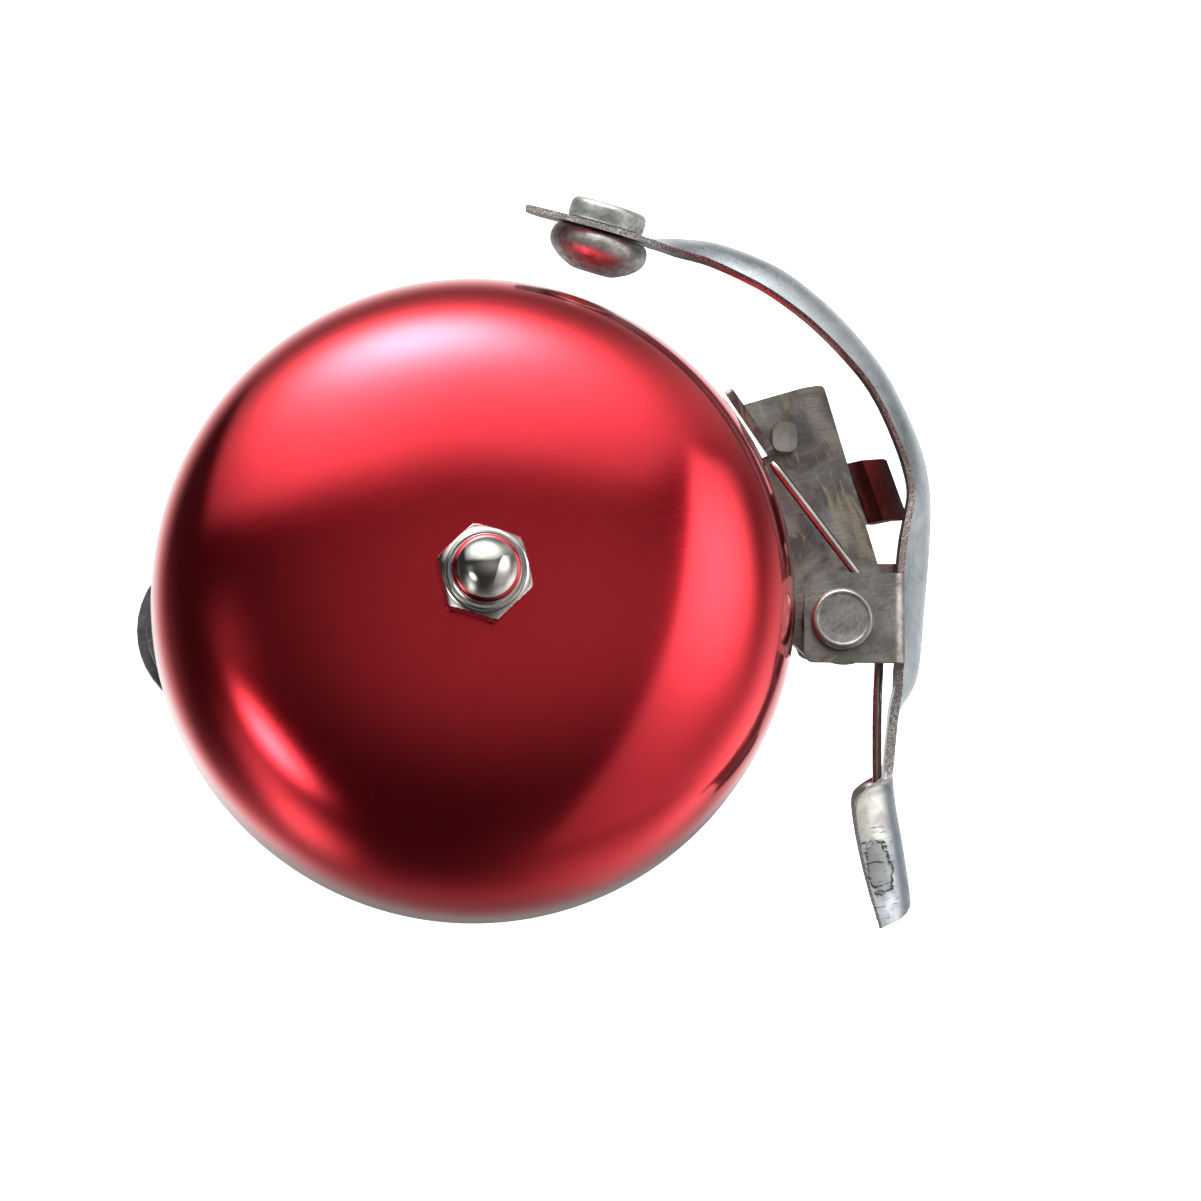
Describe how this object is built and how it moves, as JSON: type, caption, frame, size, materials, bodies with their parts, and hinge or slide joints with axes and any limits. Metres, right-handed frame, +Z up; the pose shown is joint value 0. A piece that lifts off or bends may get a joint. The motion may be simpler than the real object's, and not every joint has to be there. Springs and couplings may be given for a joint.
{
  "type": "bicycle bell",
  "caption": "Handlebar bell: a spun red dome on a stud, with a spring-returned thumb lever and hammer beside it, on a hinged clamp for a handlebar.",
  "frame": {"origin": "centre of the handlebar clamp's bore", "axes": "+Y along the handlebar, +Z up the bell's axis to its acorn nut, +X from the bell's axis to the lever's pivot"},
  "size_m": [0.0742, 0.0696, 0.0585],
  "materials": {
    "red_anodised": "polished red anodising",
    "polished_nickel": "polished nickel plate",
    "zinc_plate": "blue-white zinc plate, worn at the edges",
    "tinted_steel": "passivated steel with faint yellow and blue tints",
    "dull_steel": "dull steel with tool marks",
    "spring_steel": "drawn spring wire",
    "dark_plate": "dark plated steel",
    "brass": "turned",
    "rubber": "matt",
    "fibre": "pressed fibre"
  },
  "bodies": {
    "frame": {"bell_dome": "red_anodised", "acorn_nut": "polished_nickel", "dome_washer": "fibre", "spacer_post": "dull_steel", "centre_bolt": "dark_plate", "base_plate": "dark_plate", "hammer_bracket": "tinted_steel", "plate_rivet_1": "dull_steel", "plate_rivet_2": "dull_steel", "saddle_rivet_1": "dull_steel", "saddle_rivet_2": "dull_steel", "pivot_rivet": "dull_steel", "pivot_washer": "zinc_plate", "spring_bush": "brass", "lower_bush": "brass", "torsion_spring": "spring_steel", "clamp_saddle": "dark_plate", "liner_upper": "rubber", "clamp_nut": "zinc_plate", "clamp_washer_upper": "zinc_plate", "clamp_hinge_pin": "dull_steel"},
    "striker": {"striker_lever": "zinc_plate", "hammer_rivet": "dull_steel"},
    "strap": {"clamp_strap": "dark_plate", "liner_lower": "rubber", "clamp_washer_lower": "zinc_plate"},
    "screw": {"clamp_screw": "dull_steel"}
  },
  "joints": [
    {"name": "striker_swing", "type": "hinge", "parent": "frame", "child": "striker", "pos_m": [0.0343, -0.0018, 0.0178], "axis": [0, 0, 1], "range_deg": [-18, 5.8], "stiffness_Nm_per_rad": 0.04, "deforming": ["torsion_spring"]},
    {"name": "clamp_close", "type": "hinge", "parent": "frame", "child": "strap", "pos_m": [0.0183, 0, 0], "axis": [0, -1, 0], "range_deg": [-1.25, 1.55]},
    {"name": "clamp_screw_turn", "type": "hinge", "parent": "strap", "child": "screw", "pos_m": [-0.0232, 0, 0], "axis": [0, 0, 1], "range_deg": [-474, 380]}
  ],
  "couplings": [
    {"joint": "clamp_close", "follows": "clamp_screw_turn", "ratio": -0.003068}
  ]
}
